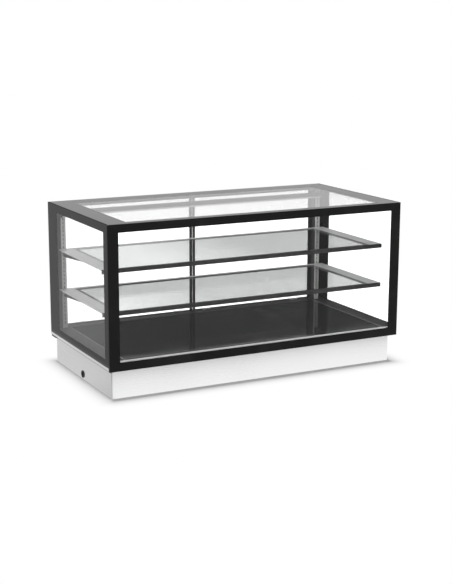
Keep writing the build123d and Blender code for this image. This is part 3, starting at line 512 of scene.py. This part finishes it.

# The four fascia screws have a cross recess, drawn as painted shade: a dark cross in their colour
SCREW_OFFSET_X, SCREW_OFFSET_Z = 0.097, 0.023
RECESS_HALF_WIDTH, RECESS_HALF_LENGTH = 0.0003, 0.0017
crossed = zinc_plating("crossed zinc")
tree = crossed.node_tree
where = coordinates(tree)
sideways = distance(tree, where, "X", PANEL_X, SCREW_OFFSET_X)
upright = distance(tree, where, "Z", PANEL_Z, SCREW_OFFSET_Z)
recess_shade_arms = [both_under(tree, first, RECESS_HALF_WIDTH, second, RECESS_HALF_LENGTH)
        for first, second in ((sideways, upright), (upright, sideways))]
print_on(crossed, maths(tree, "MAXIMUM", *recess_shade_arms), (0.05, 0.05, 0.05))
give(crossed, "panel_screws")


# Display digits. Two seven-bar red digits, unlit, on the face of the smoked window just under the
# front of the fascia. Each bar is a flat pointed strip, and they read from behind the case.

WINDOW_Y = 0.3002
BAR_STEP = 0.0032
BAR_STRETCH = 0.0022
BAR_RADIUS = 0.00055
BAR_THICKNESS = 0.0001
# Steps from a digit's middle to each of its bars, along X and up. From behind, X runs to the left
BAR_PLACES = {"a": (0, 2), "c": (-1, -1), "d": (0, -2), "e": (1, -1), "f": (1, 1), "g": (0, 0)}
quarter_x = Matrix.Rotation(math.radians(90.0), 4, "X")
quarter_z = Matrix.Rotation(math.radians(90.0), 4, "Z")
digits = bmesh.new()
for centre, bars in ((0.4415, "acdefg"), (0.4305, "acdfg")):
    for sideways, up in (BAR_PLACES[bar] for bar in bars):
        strip = bmesh.ops.create_circle(digits, cap_ends=True, segments=6, radius=BAR_RADIUS,
                                        matrix=quarter_z)["verts"]
        for vert in strip:
            vert.co.x += math.copysign(BAR_STRETCH, vert.co.x)
        turn = quarter_x @ quarter_z if sideways else quarter_x
        middle = (centre + sideways * BAR_STEP, WINDOW_Y, PANEL_Z + up * BAR_STEP)
        bmesh.ops.transform(digits, verts=strip, matrix=Matrix.Translation(middle) @ turn)
raised = bmesh.ops.extrude_face_region(digits, geom=digits.faces[:])["geom"]
bmesh.ops.translate(digits, verts=[item for item in raised if isinstance(item, bmesh.types.BMVert)],
                    vec=(0.0, BAR_THICKNESS, 0.0))
bmesh.ops.recalc_face_normals(digits, faces=digits.faces[:])
unlit_red = moulded("unlit red bars", (0.16, 0.012, 0.01), (0.24, 0.02, 0.015), 0.3)
piece = new_object("display_digits", digits, unlit_red)
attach(piece, "case")


# Floor. A large pale studio floor, pure white but for the soft shadow close round the base, with a
# painted shade in its colour right at the base's foot. In reflections it is white close in front of the
# case, and dimmer at its left, behind it and far in front.

FLOOR_WHITE = 0.72
WHITE = (1.0, 1.0, 1.0, 1.0)
BEHIND_GLASS = 1.65


def glow(tree, strength):
    """White that shines with a strength of its own."""
    return place(tree, "ShaderNodeEmission", {"Color": WHITE, "Strength": strength})


def seen_ray(tree, path):
    """1 for rays from the camera and rays that passed glass, else 0."""
    return maths(tree, "MAXIMUM", path["Is Camera Ray"], path["Is Transmission Ray"])


def white_level(tree, path):
    """Strength of the white that shows: 1, or more behind glass, to make up for what glass takes."""
    return ramp(tree, path["Is Transmission Ray"], 0.0, 1.0, at_start=1.0, at_end=BEHIND_GLASS)


def reflected(tree, path):
    """1 for rays that a surface has reflected, else 0."""
    return maths(tree, "GREATER_THAN", path["Glossy Depth"], 0.5)


floor, tree, shader, where = bare_material("studio floor", (FLOOR_WHITE, FLOOR_WHITE, FLOOR_WHITE), 0.35)
path = place(tree, "ShaderNodeLightPath").outputs

# Painted shade: the floor's colour darkens towards the foot of the base, darkest there. Pure white from 100
# mm away
PAINTED_SHADE_WIDTH, SHADOW_WIDTH = 0.009, 0.1
past_base = vectors(tree, "ABSOLUTE", where)["Vector"]
past_base = vectors(tree, "SUBTRACT", past_base, (BASE_X, BASE_Y, 0.0))["Vector"]
past_base = vectors(tree, "MAXIMUM", past_base, (0.0, 0.0, 0.0))["Vector"]
from_base = vectors(tree, "LENGTH", past_base)["Value"]
painted_foot_shade = ramp(tree, from_base, 0.0, PAINTED_SHADE_WIDTH, at_start=0.55, at_end=FLOOR_WHITE)
tree.links.new(painted_foot_shade, shader["Base Color"])
near = ramp(tree, from_base, 0.0, SHADOW_WIDTH, at_start=1.0, at_end=0.0)
near = maths(tree, "POWER", near, 3.0)
white = maths(tree, "MULTIPLY", maths(tree, "SUBTRACT", 1.0, near), seen_ray(tree, path))
lit = either(tree, white, tree.nodes["Principled BSDF"], glow(tree, white_level(tree, path)))

# Levels in reflections, from the place on the floor
on_floor = axes(tree, where)
in_front = ramp(tree, on_floor["Y"], -0.55, -0.68, at_start=1.08, at_end=0.25, curve="SMOOTHSTEP")
rearwards = ramp(tree, on_floor["Y"], -0.3, 0.6, at_start=0.52, at_end=0.84)
beside = ramp(tree, on_floor["X"], -0.57, -0.595, at_start=1.0, at_end=rearwards, curve="SMOOTHSTEP")
farther = ramp(tree, on_floor["X"], -0.765, -0.785, at_start=1.0, at_end=0.56)
behind = ramp(tree, on_floor["Y"], 0.0, 0.4, at_start=1.0, at_end=0.84)
mirror_level = in_front
for factor in (beside, farther, behind):
    mirror_level = maths(tree, "MULTIPLY", mirror_level, factor)
either(tree, reflected(tree, path), lit, glow(tree, mirror_level))

mesh = bmesh.new()
bmesh.ops.create_grid(mesh, x_segments=2, y_segments=2, size=30.0)
ground = new_object("studio_floor", mesh, floor)


# Dark card. A flat dark frame hung level round the case, just under its top. Only the reflections
# that leave the deck and the shelves upwards meet it, so they stay dark while the top stays bright.

CARD_Z = 0.62
HOLE_HALF_DEPTH = 0.32
HOLE_PROPORTION = 1.95
CARD_REACH = 4.5
REAR_PART_Y = 0.33
card, tree, shader, where = bare_material("dark card", (0.02, 0.02, 0.02), 0.9)
path = place(tree, "ShaderNodeLightPath").outputs
from_below = place(tree, "ShaderNodeNewGeometry").outputs["Backfacing"]

# Levels: dark over the front. Behind the case, lighter towards the left for what the shelves
# reflect, and darkest farther back, which is what the deck reflects.
on_card = axes(tree, where)
for_shelves = ramp(tree, on_card["X"], 0.0, 0.5, at_start=0.9, at_end=0.22)
for_deck = ramp(tree, on_card["Y"], 1.26, 1.36)
card_level = between(tree, for_deck, for_shelves, 0.05)
rear_part = maths(tree, "GREATER_THAN", on_card["Y"], REAR_PART_Y)
card_level = between(tree, rear_part, 0.1, card_level)
either(tree, maths(tree, "MULTIPLY", reflected(tree, path), from_below),
       place(tree, "ShaderNodeBsdfTransparent"), glow(tree, card_level))

sheet = bmesh.new()
bmesh.ops.create_grid(sheet, x_segments=1, y_segments=1, size=HOLE_HALF_DEPTH,
                      matrix=Matrix.Translation((0.0, 0.0, CARD_Z)))
for vert in sheet.verts:
    vert.co.x *= HOLE_PROPORTION
hole = sheet.faces[:]
rim = bmesh.ops.extrude_edge_only(sheet, edges=sheet.edges[:])["geom"]
for vert in (item for item in rim if isinstance(item, bmesh.types.BMVert)):
    vert.co.x += math.copysign(CARD_REACH, vert.co.x)
    vert.co.y += math.copysign(CARD_REACH, vert.co.y)
bmesh.ops.delete(sheet, geom=hole, context="FACES_ONLY")
flag = new_object("dark_card", sheet, card)
flag.visible_camera = False
flag.visible_diffuse = False
flag.visible_shadow = False


# Light. An even white room, darker on the camera's side for reflections, and two large soft
# lamps that give the case its shaded sides.

ROOM_LEVEL = 0.72
DARK_SIDE = Vector((-0.4575, -0.8892, 0.0))
world = bpy.data.worlds.new("studio")
bpy.context.scene.world = world
world.use_nodes = True
tree = world.node_tree
room = tree.nodes["Background"].inputs
room["Color"].default_value = WHITE
path = place(tree, "ShaderNodeLightPath").outputs

# Levels in reflections: dimmer towards the dark side, with a brighter band about 23 degrees up,
# and dimmer again overhead
heading = place(tree, "ShaderNodeTexCoord").outputs["Generated"]
towards_dark = vectors(tree, "DOT_PRODUCT", heading, DARK_SIDE)["Value"]
room_level = ramp(tree, towards_dark, -0.3, 0.6, at_start=0.66, at_end=0.4)
height = axes(tree, heading)["Z"]
for start, end, change in ((0.28, 0.36, 1.5), (0.42, 0.55, 0.4)):
    band = ramp(tree, height, start, end, at_start=1.0, at_end=change)
    room_level = maths(tree, "MULTIPLY", room_level, band)
room_level = between(tree, path["Is Diffuse Ray"], room_level, ROOM_LEVEL)

# Plain white where the camera sees it with nothing reflecting it
plain = maths(tree, "GREATER_THAN", seen_ray(tree, path), path["Glossy Depth"])
tree.links.new(between(tree, plain, room_level, white_level(tree, path)), room["Strength"])

LAMPS_AIM = Vector((0.0, 0.0, 0.3))
for stand, size, power in (((-2.6, -1.6, 3.0), 2.2, 30.0), ((2.2, -2.4, 2.8), 2.0, 20.0)):
    light = bpy.data.lights.new("soft lamp", "AREA")
    light.shape = "DISK"
    light.size = size
    light.energy = power
    lamp = bpy.data.objects.new("soft lamp", light)
    bpy.context.scene.collection.objects.link(lamp)
    lamp.location = stand
    lamp.rotation_mode = "QUATERNION"
    lamp.rotation_quaternion = (LAMPS_AIM - Vector(stand)).to_track_quat("-Z", "Y")


# Camera. A long lens at the left front, a little above the case and looking slightly down. Its
# place, turn and focal length are fitted to the edges of the case.

CAMERA_PLACE = (-2.2110, -4.3134, 1.3578)
yaw, pitch, roll = math.radians(27.222), math.radians(12.534), math.radians(0.187)
ahead = Vector((math.sin(yaw) * math.cos(pitch), math.cos(yaw) * math.cos(pitch), -math.sin(pitch)))
level_right = Vector((math.cos(yaw), -math.sin(yaw), 0.0))
level_up = level_right.cross(ahead)
right = level_right * math.cos(roll) + level_up * math.sin(roll)
above = level_up * math.cos(roll) - level_right * math.sin(roll)
lens = bpy.data.cameras.new("camera")
lens.lens = 78.08
lens.sensor_width = 36.0
camera = bpy.data.objects.new("camera", lens)
bpy.context.scene.collection.objects.link(camera)
camera.matrix_world = (Matrix.Translation(CAMERA_PLACE)
                       @ Matrix((right, above, -ahead)).transposed().to_4x4())
bpy.context.scene.camera = camera
bpy.context.scene.view_settings.view_transform = "Standard"
